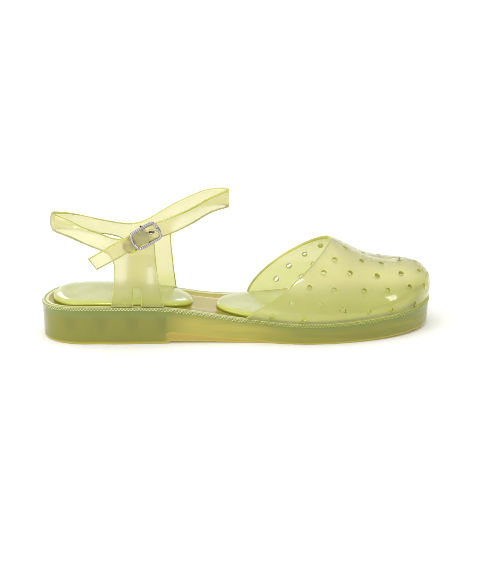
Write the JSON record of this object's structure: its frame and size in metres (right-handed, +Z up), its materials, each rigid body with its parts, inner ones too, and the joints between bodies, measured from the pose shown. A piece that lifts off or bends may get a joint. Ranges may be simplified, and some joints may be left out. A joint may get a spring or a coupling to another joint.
{
  "type": "slingback sandal",
  "caption": "Right-foot jelly slingback sandal: closed perforated toe, open waist, slotted quarters, buckled ankle strap, low moulded sole with cushion pads.",
  "frame": {"origin": "middle of the shoe's box, on the floor under its sole", "axes": "+X from heel to toe, +Y to the inner (big toe) side, +Z up"},
  "size_m": [0.254, 0.0892, 0.094],
  "materials": {
    "sole_jelly": "glossy translucent olive-lime moulded PVC",
    "pad_jelly": "glossy soft pale lime PVC",
    "upper_jelly": "clear lime-yellow flexible PVC",
    "tab_jelly": "grained olive PVC",
    "buckle_silver": "polished nickel plate"
  },
  "bodies": {
    "root": {"sole": "sole_jelly", "heel_pad": "pad_jelly", "forefoot_pad": "pad_jelly", "vamp": "upper_jelly", "ankle_strap": "upper_jelly", "buckle_tab": "tab_jelly", "buckle_frame": "buckle_silver", "buckle_prong": "buckle_silver"}
  },
  "joints": []
}
